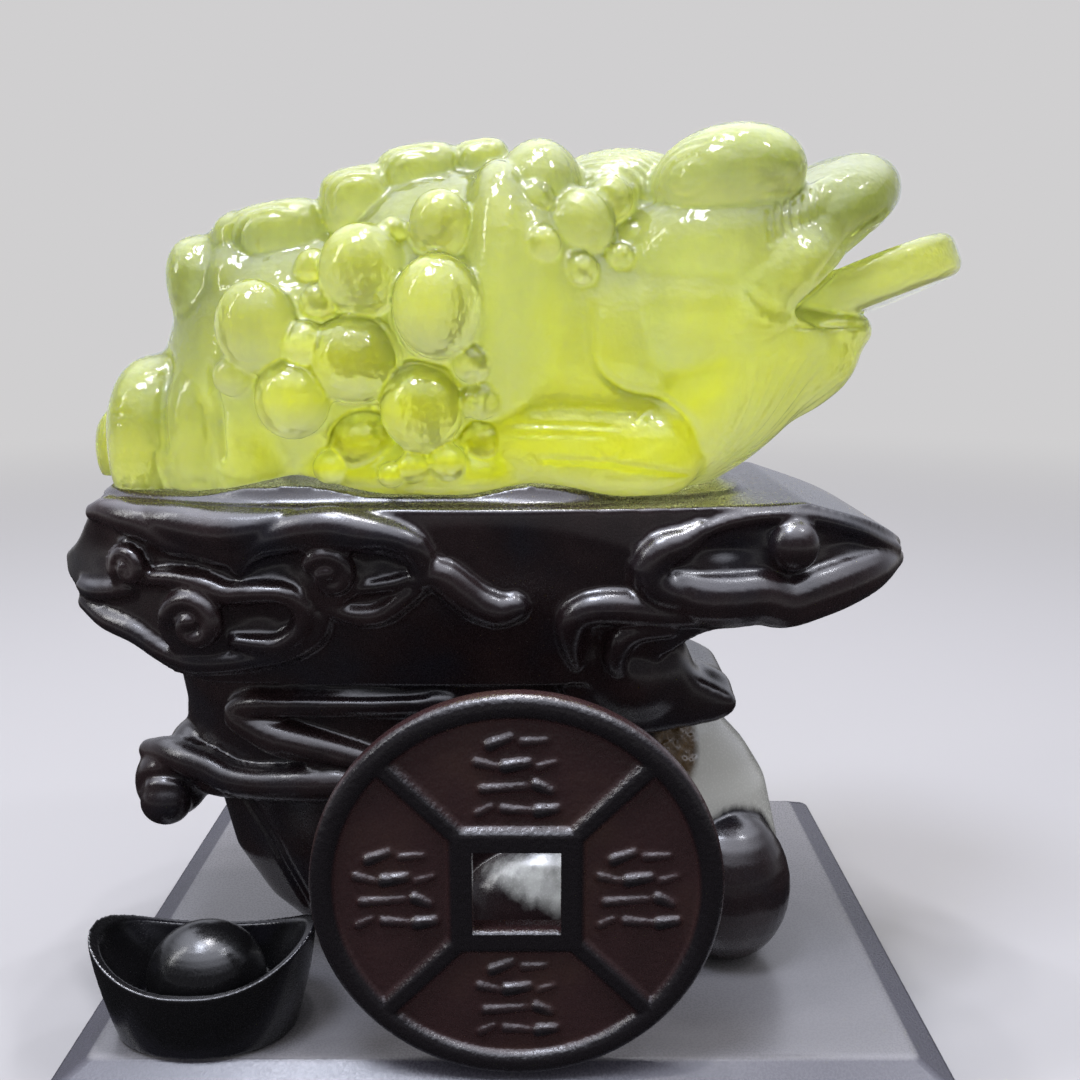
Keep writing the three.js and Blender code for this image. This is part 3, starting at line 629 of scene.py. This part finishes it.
# The cloud stand: the tray, the pillar under it, and the rolls and ribbons that lie on them.
stand = {
    "voxel": 0.72, "ease": 3,
    "trayTop": 140, "trayBottom": 94, "left": -114, "right": 102, "front": -46, "back": 39, "draft": 8.5,
    "brim": 4, "frontRound": 0.83, "backRound": 0.66,  # the upright band at the top, and the plan's corners
    "trayOutline": [
        (-96, 140), (-100, 135), (-105, 128), (-114, 120.5), (-107, 116.5), (-103, 112), (-96, 108),
        (-88, 105.5), (-82, 101), (-74, 98), (-60, 96), (20, 96), (38, 104), (48, 110), (66, 111.5),
        (77, 113), (87, 117), (97, 121), (102, 123.5), (99, 127.5), (88, 134), (70, 140),
    ],
    "bedLength": 158, "bedDepth": 70, "bedX": -20, "bedFoot": 139,
    "pillar": [  # z, x, y, half length, half depth
        (16.3, 4, -8, 55, 20), (22, 4.5, -8, 61.5, 23), (30, 3, -8, 69, 24.5), (43, -0.5, -7, 74, 25.5),
        (60, -4.5, -6, 74, 26.5), (68, -9, -5.5, 73.5, 27), (76, -14.5, -5, 71.5, 27.5),
        (84, -20, -4, 65.5, 29),
        (98, -22, -3.5, 65.5, 31.5), (106, -24, -3.5, 61.5, 31),
    ],
    "mound": ((12, -30, 30), (27, 16, 23)), "barePatch": (43, 74, 6.0, 9.5),
    "rolls": [  # on the tray's front: how far it stands proud, then X, Z and radius
        (0.2, [(-88, 137.2, 2.6), (-76, 135.8, 4.8), (-66, 134.4, 5.4), (-58, 134.6, 5.0),
         (-50, 136.6, 3.4)]),
        (0.2, [(-97, 136.6, 2.4), (-93.6, 137.1, 3.2), (-87.7, 136.3, 4.2), (-80.8, 135.0, 4.6),
         (-75.3, 131.9, 4.4), (-69.7, 130.7, 4.2), (-63.4, 130.0, 4.1), (-60.2, 128.5, 3.2)]),
        (0.2, [(-60.1, 126.2, 2.4), (-58.0, 129.3, 3.6), (-51.7, 132.7, 4.6), (-45.5, 134.9, 4.9),
         (-38.1, 135.8, 5.0), (-31.5, 134.6, 4.9), (-25.0, 133.1, 4.7), (-20.0, 130.9, 4.3),
         (-18.0, 127.4, 3.4)]),
        (0.2, [(-33.9, 121.0, 1.5), (-29.4, 121.6, 1.8), (-24.1, 122.7, 1.8), (-19.6, 124.6, 1.6)]),
        (0.2, [(-41.5, 117.5, 1.6), (-39.5, 116.3, 2.0), (-34.4, 114.4, 2.5), (-28.3, 114.8, 2.7),
         (-22.9, 118.5, 2.6), (-18.2, 122.6, 2.4)]),
        (0.2, [(-18.6, 123.6, 3.0), (-14.8, 125.0, 4.0), (-10.8, 122.0, 4.4), (-6.4, 118.1, 4.5),
         (-1.2, 115.8, 4.5), (2.6, 116.6, 3.6)]),
        (0.6, [(-84.5, 121.6, 1.6), (-81.1, 122.5, 2.0), (-74.4, 122.8, 2.5), (-68.7, 121.5, 2.8),
         (-63.3, 119.6, 2.9), (-57.0, 120.1, 2.9), (-51.0, 120.4, 2.9), (-47.1, 118.3, 2.8),
         (-45.8, 114.8, 2.8), (-47.5, 110.4, 2.8), (-52.4, 107.2, 2.6), (-56.9, 107.2, 2.4),
         (-62.2, 107.8, 2.0)]),
        (-0.4, [(-83.5, 106.5, 2.0), (-80.5, 104.2, 2.4), (-73.6, 102.2, 2.8), (-65.9, 102.2, 2.9),
         (-57.3, 103.6, 2.9), (-49.5, 105.6, 2.9), (-43.6, 109.6, 2.8), (-41.5, 114.4, 2.4)]),
        (0.2, [(-103.5, 117.6, 1.8), (-99.5, 117.1, 2.4), (-93.3, 118.0, 2.3), (-88.5, 119.2, 2.0)]),
        (-0.6, [(-102.8, 113.4, 2.4), (-97.5, 110.8, 2.8), (-94.1, 109.8, 3.0), (-87.7, 108.0, 3.0),
         (-81.8, 104.3, 2.6)]),
        (0.2, [(44.6, 134.4, 2.6), (40.8, 132.0, 3.6), (35.8, 130.2, 4.2), (33.0, 126.4, 4.4),
         (34.6, 122.3, 4.5), (39.6, 120.0, 4.2), (46.5, 118.8, 3.4)]),
        (-2.6, [(40, 120.4, 6.4), (45.1, 118.6, 7.2), (51.8, 118.2, 7.2), (58.7, 118.4, 7.0),
         (65.8, 116.4, 6.8), (73.0, 118.2, 7.2), (80.5, 120.0, 7.0), (88.7, 121.6, 5.8),
         (96.5, 122.8, 3.4)]),
        (0, [(43.4, 133.4, 1.8), (51.3, 136.4, 1.9), (61.4, 137.4, 1.8), (72.0, 136.2, 1.8),
         (83.7, 132.3, 1.8), (96.3, 125.6, 2.0)]),
        (0.4, [(17.0, 101.6, 1.4), (15.8, 106.0, 2.6), (15.6, 110.0, 3.5), (16.4, 113.6, 4.0),
         (19.4, 115.8, 4.3), (24.3, 116.6, 4.4), (30.2, 116.2, 4.3), (36, 115.2, 3.8),
         (44, 114.6, 3.0)]),
        (0.8, [(38, 111.4, 2.6), (31.5, 111.0, 3.2), (27.6, 108.6, 3.4), (26.2, 105.0, 3.3),
         (26.6, 101.6, 2.6), (28.6, 98.6, 1.4)]),
    ],
    "scrollTurns": 1.15,
    "scrolls": [  # centre in X and Z, outer radius, start turn in degrees
        (-87.5, 124.6, 6.6, 195), (-38.8, 125.0, 7.6, 150), (-71.4, 112.4, 9.4, 165),
    ],
    "ball": (66.9, 130.4, 6.3),
    "dents": [  # hollows between the rolls: X, Z, half sizes, depth
        (-52.0, 126.8, 6, 4.0, 1.8), (-26.5, 128.6, 5.5, 3.4, 1.8), (-57, 113.8, 6.0, 3.6, 2.0),
        (-72.5, 126.8, 6, 2.0, 1.4), (-96, 127.5, 5, 5.5, 1.2),
        (50.5, 129.8, 5.5, 2.6, 1.8), (81, 129.4, 5.0, 1.8, 0.9),
        (21.6, 106.6, 2.4, 4.6, 1.6),
    ],
    "lowerCloud": [
        (12, 96), (14, 112), (26, 116), (40, 115), (46, 112), (43, 106), (43.4, 100.4), (46.6, 96.6),
        (52, 94.2),
        (57.4, 90.2), (53, 85.5), (42, 83), (30, 81), (18, 82),
    ],
    "ribbons": [  # X, Y, Z, radius
        [(-14, -33, 90.0, 3.2), (-22.3, -33.5, 90.0, 3.4), (-30.9, -34, 90.0, 3.5), (-40.9, -34, 90.0, 3.6),
         (-51.0, -33.5, 89.8, 3.6), (-59.5, -32, 89.0, 3.5), (-65.4, -30, 87.4, 3.4),
         (-66.6, -30, 85.0, 3.6),
         (-61.7, -31, 82.4, 4.2), (-57.2, -32, 80.6, 4.6), (-52.2, -32.5, 79.2, 4.7),
         (-46.7, -32.5, 77.8, 4.5),
         (-41.1, -32.5, 76.3, 4.3), (-36.6, -32.5, 75.0, 4.2), (-28, -32.5, 72.6, 4.0)],
        [(-94, -17, 70.5, 3.0), (-88, -20, 71.2, 4.2), (-82.1, -23, 70.6, 4.6), (-75.9, -25.5, 69.6, 4.4),
         (-70.7, -27.5, 67.8, 4.2), (-64.0, -29.5, 67.2, 4.2), (-56.1, -30.5, 67.4, 4.6),
         (-49.8, -31.5, 68.0, 5.0),
         (-42.0, -32, 68.4, 5.2), (-32, -32.5, 68.2, 5.0)],
        [(-80, -20, 64.6, 4.0), (-74, -23, 64.4, 4.0), (-66, -26, 64.2, 3.4)],
    ],
    "lobe": [((-88.4, -17, 62.6), (9.6, 10, 10.2)), ((-88.4, -23.4, 59.0), (6.6, 5.2, 6.2)),
              ((-79, -12, 66), (9, 12, 9)),
             ((-80.5, -13, 70), (9.5, 11, 8.6))],
    "volute": ((57.4, -23, 35.5), (17.0, 15.5, 20.6)),
}
trayMiddle = ((stand["left"] + stand["right"]) / 2, (stand["front"] + stand["back"]) / 2)
trayHalf = ((stand["right"] - stand["left"]) / 2, (stand["back"] - stand["front"]) / 2)


def faceY(x, z):  # depth of the tray's front face, which the rolls follow
    reach = min(abs(x - trayMiddle[0]) / trayHalf[0], 0.97) ** (1 / stand["frontRound"])
    plan = trayMiddle[1] - trayHalf[1] * (1 - reach ** 2) ** (stand["frontRound"] / 2)
    band = stand["trayTop"] - stand["brim"]
    return max(plan, stand["front"] + stand["draft"] * max(band - z, 0) / (band - stand["trayBottom"]))


def trayObject():
    tray = prism(smoothLine(stand["trayOutline"], 2.0), "y", -60, 60)
    plan = []
    for t in np.linspace(0, 2 * pi, 160, endpoint=False):
        corner = stand["backRound" if t < pi else "frontRound"]
        plan.append((trayMiddle[0] + trayHalf[0] * signedPower(cos(t), stand["frontRound"]),
                     trayMiddle[1] + trayHalf[1] * signedPower(sin(t), corner)))
    cutBy(tray, prism(plan, "z", 80, 160), "INTERSECT")
    front, back, top, low, draft = (stand[key] for key in ("front", "back", "trayTop", "trayBottom", "draft"))
    band = top - stand["brim"]
    side = [(front, top), (front, band), (front + draft, low), (back - draft, low), (back, band), (back, top)]
    return cutBy(tray, prism(side, "x", -130, 130), "INTERSECT")


def addBed(bm):
    half, deep, foot = stand["bedLength"] / 2, stand["bedDepth"] / 2, stand["bedFoot"]

    def place(angle, level):  # slopes out to the tray's edge as it falls
        slope = 3 * (1 - level) ** 1.3
        x = stand["bedX"] + (half + slope) * signedPower(cos(angle), 0.6)
        y = midY + (deep + slope) * signedPower(sin(angle), 0.6)
        return (x, y, foot + level * (float(underside(x)) - gap - foot))
    addTower(bm, 8, 120, place)


def bedTopFollowed(mesh):  # the bed's top takes the wave of the toad's foot
    spots = coordinates(mesh)
    x, y, z = spots.T
    ceiling = underside(x) - gap
    low = ((z > 140.4) & (abs(x - stand["bedX"]) < stand["bedLength"] / 2)
           & (abs(y - midY) < stand["bedDepth"] / 2))
    spots[low, 2] = np.minimum(spots[low, 2], ceiling[low])
    store(mesh, spots)


def pillarPlace(angle, level):
    table = np.array(stand["pillar"], float)
    z = table[0, 0] + level * (table[-1, 0] - table[0, 0])
    x, y, a, b = (np.interp(z, table[:, 0], table[:, k]) for k in (1, 2, 3, 4))
    return (x + a * signedPower(cos(angle), 0.75), y + b * signedPower(sin(angle), 0.75), z)


def lowerCloudObject():
    bm = bmesh.new()
    takeIn(bm, prism(smoothLine(stand["lowerCloud"], 2.0), "y", -36, 4))
    addEgg(bm, (31, -28, 97), (16, 13, 14), -20)
    addEgg(bm, (43, -24, 90.4), (14.2, 12.5, 5.6), 4)
    return fused(looseObject("lowerCloud", bm), 1.4, 14)


def scrollPoints(x, z, radius, startTurn):
    points, radii = [], []
    steps = 24
    for step in range(steps + 1):
        t = step / steps
        angle = radians(startTurn - 360 * stand["scrollTurns"] * t)
        reach = radius * (0.7 - 0.58 * t)
        px, pz = x + reach * cos(angle), z + reach * sin(angle)
        points.append((px, faceY(px, pz) - 2.2 - 1.6 * t, pz))
        radii.append(radius * (0.29 - 0.07 * t))
    return points, radii


def makeStand():
    bm = bmesh.new()
    takeIn(bm, trayObject())
    addBed(bm)
    takeIn(bm, lowerCloudObject())
    addTower(bm, 60, 120, pillarPlace)
    for proud, roll in stand["rolls"]:
        addRoll(bm, [(x, faceY(x, z) - proud, z) for x, z, radius in roll], [p[2] for p in roll])
    for x, z, radius, startTurn in stand["scrolls"]:
        points, radii = scrollPoints(x, z, radius, startTurn)
        addRoll(bm, points, radii, 0.9)
        addEgg(bm, (x, faceY(x, z), z), (radius * 1.02, 1.5, radius * 1.02))
    x, z, radius = stand["ball"]
    addEgg(bm, (x, faceY(x, z) - 0.8, z), (radius, radius * 0.9, radius))
    for ribbon in stand["ribbons"]:
        addRoll(bm, [p[:3] for p in ribbon], [p[3] for p in ribbon])
    for centre, half in (*stand["lobe"], stand["volute"], stand["mound"]):
        addEgg(bm, centre, half)
    obj = fused(looseObject("standLumps", bm), stand["voxel"], stand["ease"])
    carveStand(obj.data)
    bedTopFollowed(obj.data)
    finished(obj, "standCarving", resinFinish, "cloud_stand")
    bare = barePatch(coordinates(obj.data) * 1000)
    paint(obj.data, "bareResin", bare)
    # a painted reflection of the bright room on the pillar's flank and the mound
    paint(obj.data, "dulledResin", paintedReflectionPlaces(obj.data) * (1 - bare))


standLines = [
    ([(-73, 66), (-62.9, 51.5), (-55.9, 37.4), (-51.6, 28)], 0.6, 0.9),
    ([(-70.6, 66), (-60.6, 51.5), (-53.6, 37.4), (-49.4, 28)], 0.5, 0.7),
    ([(-96.0, 61.0), (-93.6, 65.6), (-88.6, 67.2), (-83.2, 65.6), (-80.6, 61.0), (-81.4, 56.0)], 1.2, 1.2),
    ([(-60, 92.4), (-48, 92.8), (-34, 92.6), (-18, 92.6)], 0.9, 0.9), ([(-56, 77.6), (-46, 74.6),
      (-36, 72.4)], 0.9, 0.8),
]


def barePatch(spots):  # a rough patch on the right, where the colour didn't take
    x, z, wide, high = stand["barePatch"]
    away = np.hypot((spots[:, 0] - x) / wide, (spots[:, 2] - z) / high)
    return clamp((1.15 - away) / 0.35) * (spots[:, 1] < 0)


def paintedReflectionPlaces(mesh):  # painted reflection of the bright room on the pillar's right flank and the mound behind the coin
    spots = coordinates(mesh) * 1000
    x, y, z = spots.T
    (vx, vy, vz), half = stand["volute"]
    offVolute = np.linalg.norm((spots - (vx, vy, vz)) / half, axis=1)
    flank = clamp((x - 38) / 8) * clamp((z - 34) / 16) * clamp((82 + 0.3 * (x - 42) - z) / 4)
    flank *= clamp((offVolute - 1.02) / 0.12) * clamp((12 - y) / 22)
    mound = clamp((z - 38 - 0.35 * (12 - x)) / 5) * (abs(x - 6) < 26) * clamp((-34 - y) / 4) * (z < 62)
    amount = np.maximum(flank, mound * 0.8)
    for i in np.nonzero(amount)[0]:  # the painted reflection's edge is ragged, with thin streaks
        streak = noise.fractal(Vector((x[i] / 5, y[i] / 5, z[i] / 14)), 0.6, 2.0, 4)
        amount[i] = min(max(1.5 * amount[i] - 0.2 + 0.45 * streak, 0), 1)
    return amount


def carveStand(mesh):
    carved(mesh, standLines)
    spots = coordinates(mesh)
    normals = outward(mesh)
    facing = clamp(-normals[:, 1] * 1.6) * (spots[:, 1] < -8)
    move = np.zeros(len(spots))
    for x, z, wide, high, depth in stand["dents"]:
        away = ((spots[:, 0] - x) / wide) ** 2 + ((spots[:, 2] - z) / high) ** 2
        move -= depth * np.exp(-away)
    move *= facing
    rough = barePatch(spots)
    for i in np.nonzero(rough)[0]:
        move[i] += rough[i] * 0.9 * noise.fractal(Vector(spots[i]) / 2.4, 0.6, 2.0, 4)
    store(mesh, spots + normals * move[:, None])


makeStand()


# The cash coin, made flat about its own middle and then set upright in the plinth.
cashCoin = {
    "x": 3.4, "back": -64.4, "sunk": 1.2, "radius": 45.3, "rim": 5.8, "field": 2.2, "rimProud": 2.0,
    "hole": 19.4, "frame": 29.6, "spoke": 4.8, "strokeReach": 26.5, "strokeHigh": 2.9,
    "strokes": [  # height in the row, then start, end, half rise and weight of each stroke
        (7.2, [(-5.6, -1.2, 0.9, 1.2), (1.4, 6.4, 0.2, 0.9)]),
        (2.4, [(-8.4, -4.6, -0.5, 1.0), (-2.4, 2.6, 0.4, 1.3), (4.8, 8.4, 0.6, 0.8)]),
        (-2.4, [(-7.2, 1.8, 0.3, 1.0), (4.2, 7.4, -0.7, 1.2)]),
        (-7.0, [(-8.2, -5.2, 0.8, 0.9), (-2.8, 2.4, -0.2, 1.0), (4.6, 8.6, 0.3, 1.3)]),
    ],
    "voxel": 0.42, "ease": 1,
}


def addBar(bm, width, depth, height, turn=0.0):  # a raised bar with bevelled edges on both faces
    bar = bmesh.new()
    place = Matrix.Rotation(radians(turn), 4, "Y") @ Matrix.Diagonal((width, 2 * depth, height, 1))
    bmesh.ops.create_cube(bar, size=1, matrix=place)
    bevelled(bar, list(bar.edges), 1.2, 1)
    poured(bm, bar)


def addBrushStroke(bm, start, end, thick, depth):  # a shallow stroke, fuller at its two ends
    line = [(start[0] + (end[0] - start[0]) * t, -depth, start[1] + (end[1] - start[1]) * t)
            for t in (0, 0.5, 1)]
    addRoll(bm, line, [thick * 0.46, thick * 0.42, thick * 0.36], 1.0, 10)


def makeCashCoin():
    coin = cashCoin
    bm = bmesh.new()
    half = coin["field"] / 2
    face = half + coin["rimProud"]
    radius = coin["radius"]
    made = bmesh.ops.create_cone(bm, cap_ends=True, segments=160, radius1=radius - 2, radius2=radius - 2,
                                 depth=2 * half)
    bmesh.ops.rotate(bm, verts=made["verts"], cent=(0, 0, 0), matrix=Matrix.Rotation(pi / 2, 3, "X"))
    middle, halfRim = radius - coin["rim"] / 2, coin["rim"] / 2
    section = [(middle + halfRim * signedPower(cos(t), 0.8), face * signedPower(sin(t), 0.8))
               for t in np.linspace(0, 2 * pi, 24, endpoint=False)]
    ring = [bm.verts.new((r, y, 0)) for r, y in section]
    loop = bm.faces.new(ring)
    bmesh.ops.spin(bm, geom=[loop, *ring, *loop.edges], cent=(0, 0, 0), axis=(0, 1, 0), angle=2 * pi,
                   steps=160, use_merge=True, use_duplicate=False)
    bmesh.ops.remove_doubles(bm, verts=bm.verts, dist=1e-4)
    addBar(bm, coin["frame"], face - 0.2, coin["frame"])
    length = 2 * (radius - coin["rim"] * 0.5)
    for turn in (45, -45):
        addBar(bm, length, face - 0.45, coin["spoke"], turn)
    reach = coin["strokeReach"]
    depth = half - 0.2
    for x, z in ((0, reach), (0, -reach), (-reach, 0), (reach, 0)):  # rows of plain strokes
        for row, marks in coin["strokes"]:
            for start, end, slope, weight in marks:
                addBrushStroke(bm, (x + start, z + row * 1.1 - slope), (x + end, z + row * 1.1 + slope),
                               coin["strokeHigh"] * weight, depth)
    bmesh.ops.recalc_face_normals(bm, faces=bm.faces)
    obj = looseObject("cashCoinLumps", bm)
    hole = bmesh.new()
    bmesh.ops.create_cube(hole, size=1, matrix=Matrix.Diagonal((coin["hole"], 30, coin["hole"], 1)))
    fused(obj, coin["voxel"], coin["ease"])
    cutBy(obj, looseObject("hole", hole))
    seat = coin["back"] - face
    obj.data.transform(Matrix.Translation((coin["x"], seat, plinthTop - coin["sunk"] + radius)))
    finished(obj, "cashCoinCarving", coinFinish, "cash_coin")


makeCashCoin()


ingot = {
    "x": -71, "y": -52.5, "length": 52.5, "depth": 32, "base": 42, "low": 16.5, "tip": 25.5, "wall": 1.9,
    "pearl": 14, "voxel": 0.4, "ease": 3,
}


def boatObject(name, length, depth, baseScale, bottom, low, tip, over):  # sides sweep out as they rise
    def place(angle, level):
        grow = baseScale + (1 - baseScale) * (1 - (1 - level) ** 1.5)
        side = 0.88 + 0.12 * level ** 0.6
        x = length / 2 * grow * signedPower(cos(angle), 0.9)
        y = depth / 2 * side * signedPower(sin(angle), 0.9)
        rise = (tip - low) * abs(cos(angle)) ** 2.4
        return (x, y, bottom + (low + rise - bottom) * level + (over if level == 1 else 0))
    bm = bmesh.new()
    addTower(bm, 24, 120, place)
    return looseObject(name, bm)


def makeIngot():
    length, depth, wall, low, tip = (ingot[key] for key in ("length", "depth", "wall", "low", "tip"))
    hull = boatObject("hull", length, depth, ingot["base"] / length, 0, low, tip, 6)
    hollow = boatObject("hollow", length - 2 * wall, depth - 2 * wall, 0.6, low - 8, low + 0.6, tip + 0.6, 14)
    cutBy(hull, hollow)
    half = length / 2
    sweep = [(x, low + (tip - low) * abs(x / half) ** 2.4) for x in np.linspace(-half - 2, half + 2, 60)]
    cutBy(hull, prism([*sweep, (half + 2, 60), (-half - 2, 60)], "y", -40, 40))
    bm = bmesh.new()
    takeIn(bm, hull)
    pearl = ingot["pearl"]
    addEgg(bm, (0, 0, 11.5), (pearl, pearl * 0.84, pearl * 0.98), 0, 48)
    obj = fused(looseObject("ingotLumps", bm), ingot["voxel"], ingot["ease"])
    obj.data.transform(Matrix.Translation((ingot["x"], ingot["y"], plinthTop + gap)))
    finished(obj, "ingotCarving", ingotFinish, "ingot")


makeIngot()


plinth = {"length": 190, "depth": 130, "bevelOut": 9, "bevelDrop": 5, "edgeRound": 1.3}


def makePlinth():
    bm = bmesh.new()
    top, out = plinthTop, 2 * plinth["bevelOut"]
    bmesh.ops.create_cube(bm, size=1, matrix=Matrix.Translation((0, 0, 0.5)))
    upright = [e for e in bm.edges if abs(e.verts[0].co.z - e.verts[1].co.z) > 0.5]
    bmesh.ops.subdivide_edges(bm, edges=upright, cuts=1)
    for vert in bm.verts:
        spread = 0 if vert.co.z > 0.9 else out
        vert.co.x *= plinth["length"] + spread
        vert.co.y *= plinth["depth"] + spread
        vert.co.z = {0: 0, 1: top - plinth["bevelDrop"], 2: top}[round(vert.co.z * 2)]
    bevelled(bm, list(bm.edges), plinth["edgeRound"], 4)
    obj = looseObject("plinthBlock", bm)
    seat = bmesh.new()
    coinDepth = cashCoin["field"] + 2 * cashCoin["rimProud"]
    bmesh.ops.create_cone(seat, cap_ends=True, segments=160, radius1=cashCoin["radius"] + gap,
                          radius2=cashCoin["radius"] + gap, depth=coinDepth + 2 * gap,
                          matrix=Matrix.Rotation(pi / 2, 4, "X"))
    cutter = looseObject("seat", seat)
    middle = (cashCoin["x"], cashCoin["back"] - coinDepth / 2, top - cashCoin["sunk"] + cashCoin["radius"])
    cutter.data.transform(Matrix.Translation(middle))
    cutBy(obj, cutter)
    finished(obj, "plinthBlock", plinthPaintedReflectionFinish, "plinth")
    obj.data.shade_flat()


makePlinth()


overheadPlaces = [
    (-0.14, 0.1), (0.02, 0.2), (0.1, 0.05), (-0.02, -0.06), (0.2, 0.22), (-0.07, 0.0), (0.06, -0.16),
]
studio = {
    "surround": "#D0CFD0", "fill": 1.4, "floor": "#969597", "floorInGloss": "#1C1C1E",
    "room": "#E9ECFA", "front": 0.1, "back": 0.95, "ceiling": 5.4,  # what gloss reflects, by direction
    "cameraAt": (0.0085, -0.278, 0.183), "cameraTurn": 77.86, "focal": 1060 / 1080, "sensor": 36,
    "heart": (0, 0, 0.15),  # what every light is turned to
    # place, size, watts, tint, and the length of a long one
    "lights": {
        **{f"overhead{i}": ((x, y, 1.2), 0.045, 1.9, "#FBFAFF") for i, (x, y) in enumerate(overheadPlaces)},
        "frontTop": ((-0.25, -0.3, 1.15), 0.3, 9, "#E8EEFF"),
        "rightTop": ((0.5, -0.25, 0.95), 0.08, 1.6, "#F6F8FF"),
        "window": ((-0.8, -0.3, 0.7), 0.09, 2.4, "#FFFFFF", 0.6),
    },
}


def makeFloor():
    bm = bmesh.new()
    bmesh.ops.create_circle(bm, cap_ends=True, segments=96, radius=4.0)
    floor = looseObject("floor", bm)
    material, tree = newMaterial("matteFloor")
    matte = addNode(tree, "BsdfPrincipled", {
        "Base Color": studio["floor"], "Roughness": 0.9, "Specular IOR Level": 0.1})
    ray = addNode(tree, "LightPath")
    dark = addNode(tree, "BsdfDiffuse", {"Color": studio["floorInGloss"]})
    seen = addNode(tree, "MixShader", {  # the resin mirrors a darker floor
        0: ray.outputs["Is Glossy Ray"], 1: matte, 2: dark})
    sweep = addNode(tree, "Emission", {"Color": studio["surround"]})
    spot = addNode(tree, "TexCoord").outputs["Object"]
    away = addNode(tree, "VectorMath", {"operation": "LENGTH", 0: spot})
    far = addNode(tree, "MapRange", {  # the floor fades into what is around it
        "interpolation_type": "SMOOTHSTEP", "From Min": 0.3, "From Max": 1.5, "Value": away.outputs["Value"]})
    shader = addNode(tree, "MixShader", {0: far, 1: seen, 2: sweep})
    addNode(tree, "OutputMaterial", {"Surface": shader})
    floor.data.materials.append(material)


makeFloor()

camera = newObject("camera", bpy.data.cameras.new("camera"))
camera.location = studio["cameraAt"]
camera.rotation_euler = (radians(studio["cameraTurn"]), 0, 0)
camera.data.sensor_width = studio["sensor"]
camera.data.lens = studio["focal"] * studio["sensor"]
camera.data.clip_start = 0.01
bpy.context.scene.camera = camera

for name, (place, size, watts, tint, *long) in studio["lights"].items():
    lamp = bpy.data.lights.new(name, "AREA")
    lamp.shape = "RECTANGLE" if long else "DISK"
    lamp.size = size
    if long:
        lamp.size_y = long[0]
    lamp.energy = watts
    lamp.color = hexColour(tint)[:3]
    light = newObject(name, lamp)
    light.location = place
    light.rotation_euler = (Vector(studio["heart"]) - Vector(place)).to_track_quat("-Z", "Y").to_euler()

world = bpy.data.worlds.new("studio")
bpy.context.scene.world = world
world.use_nodes = True
tree = world.node_tree
tree.nodes.clear()
ray = addNode(tree, "LightPath")
seen = addNode(tree, "Background", {"Color": studio["surround"]})
fill = addNode(tree, "Background", {"Color": studio["surround"], "Strength": studio["fill"]})
toward = addNode(tree, "SeparateXYZ", {0: addNode(tree, "TexCoord").outputs["Generated"]})
behind = addNode(tree, "MapRange", {
    "From Min": -0.3, "From Max": 0.5, "To Min": studio["front"], "To Max": studio["back"],
    "Value": toward.outputs["Y"]})
above = addNode(tree, "MapRange", {
    "From Min": 0.45, "From Max": 0.9, "To Max": studio["ceiling"], "Value": toward.outputs["Z"]})
bright = addNode(tree, "Math", {"operation": "ADD", 0: behind, 1: above})
room = addNode(tree, "Background", {"Color": studio["room"], "Strength": bright})
around = addNode(tree, "MixShader", {0: ray.outputs["Is Camera Ray"], 1: fill, 2: seen})
mixed = addNode(tree, "MixShader", {0: ray.outputs["Is Glossy Ray"], 1: around, 2: room})
addNode(tree, "OutputWorld", {"Surface": mixed})
bpy.context.scene.view_settings.view_transform = "Standard"
